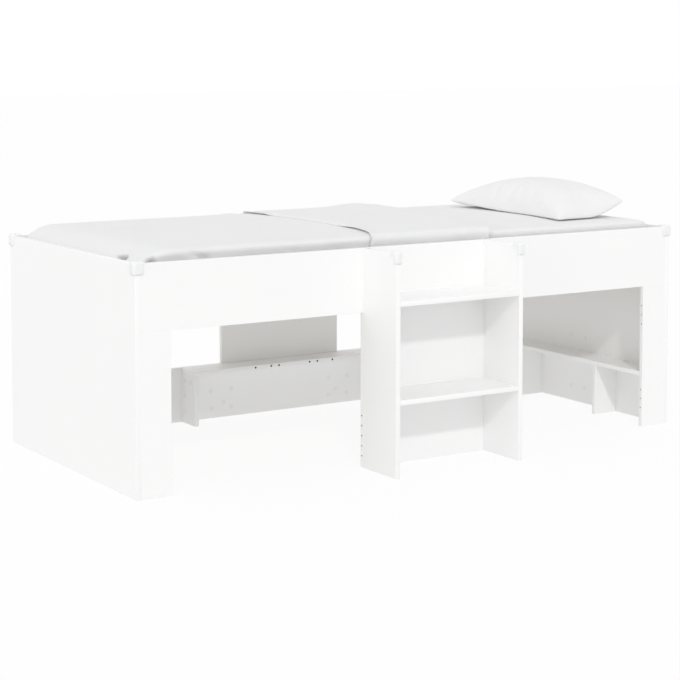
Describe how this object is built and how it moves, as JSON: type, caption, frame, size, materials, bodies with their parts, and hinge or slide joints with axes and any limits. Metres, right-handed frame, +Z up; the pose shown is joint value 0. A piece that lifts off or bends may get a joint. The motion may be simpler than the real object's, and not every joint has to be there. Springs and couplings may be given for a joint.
{
  "type": "loft bed",
  "caption": "Low loft bed of white boards with a front step bookcase, low shelves round the space under the bed, a slatted base, mattress, quilt and pillow.",
  "frame": {"origin": "middle of the bed's footprint on the floor", "axes": "+X along the bed towards the pillow end, +Y from the step bookcase at the front towards the rear, +Z up"},
  "size_m": [2.067, 1.137, 0.8484],
  "materials": {
    "white_board": "white melamine on chipboard, satin",
    "slat_wood": "raw planed softwood",
    "guard_plastic": "soft translucent plastic",
    "grey_cloth": "matt woven cotton, very light grey",
    "white_cloth": "matt woven cotton, white"
  },
  "bodies": {
    "bed_frame": {"left_end_panel": "white_board", "right_end_panel": "white_board", "front_leg_left": "white_board", "front_leg_right": "white_board", "rear_leg_left": "white_board", "rear_leg_right": "white_board", "left_end_shelf": "white_board", "right_end_shelf": "white_board", "left_end_shelf_divider_front": "white_board", "left_end_shelf_divider_rear": "white_board", "right_end_shelf_divider_front": "white_board", "right_end_shelf_divider_rear": "white_board", "rear_shelf_divider_left": "white_board", "rear_shelf_divider_right": "white_board", "front_rail_left": "white_board", "front_rail_middle": "white_board", "front_rail_right": "white_board", "step_unit_side_left": "white_board", "step_unit_side_right": "white_board", "top_step": "white_board", "middle_step": "white_board", "step_unit_upper_back": "white_board", "step_unit_lower_back": "white_board", "rear_rail": "white_board", "rear_centre_panel": "white_board", "rear_lower_panel": "white_board", "rear_shelf": "white_board", "slat_cleat_front": "slat_wood", "slat_cleat_rear": "slat_wood", "slat_01": "slat_wood", "slat_02": "slat_wood", "slat_03": "slat_wood", "slat_04": "slat_wood", "slat_05": "slat_wood", "slat_06": "slat_wood", "slat_07": "slat_wood", "slat_08": "slat_wood", "slat_09": "slat_wood", "slat_10": "slat_wood", "slat_11": "slat_wood", "slat_12": "slat_wood", "slat_13": "slat_wood", "corner_guard_front_left": "guard_plastic", "corner_guard_front_right": "guard_plastic", "corner_guard_rear_left": "guard_plastic", "corner_guard_rear_right": "guard_plastic", "corner_guard_steps_left": "guard_plastic", "corner_guard_steps_right": "guard_plastic"},
    "loose_mattress": {"mattress": "grey_cloth"},
    "loose_quilt": {"quilt": "grey_cloth"},
    "loose_pillow": {"pillow": "white_cloth"}
  },
  "joints": [
    {"name": "mattress_lift", "type": "slide", "parent": "bed_frame", "child": "loose_mattress", "axis": [0, 0, 1], "range_m": [0, 0.2]},
    {"name": "quilt_lift", "type": "slide", "parent": "loose_mattress", "child": "loose_quilt", "axis": [0, 0, 1], "range_m": [0, 0.12]},
    {"name": "pillow_lift", "type": "slide", "parent": "loose_mattress", "child": "loose_pillow", "axis": [0, 0, 1], "range_m": [0, 0.2]}
  ]
}
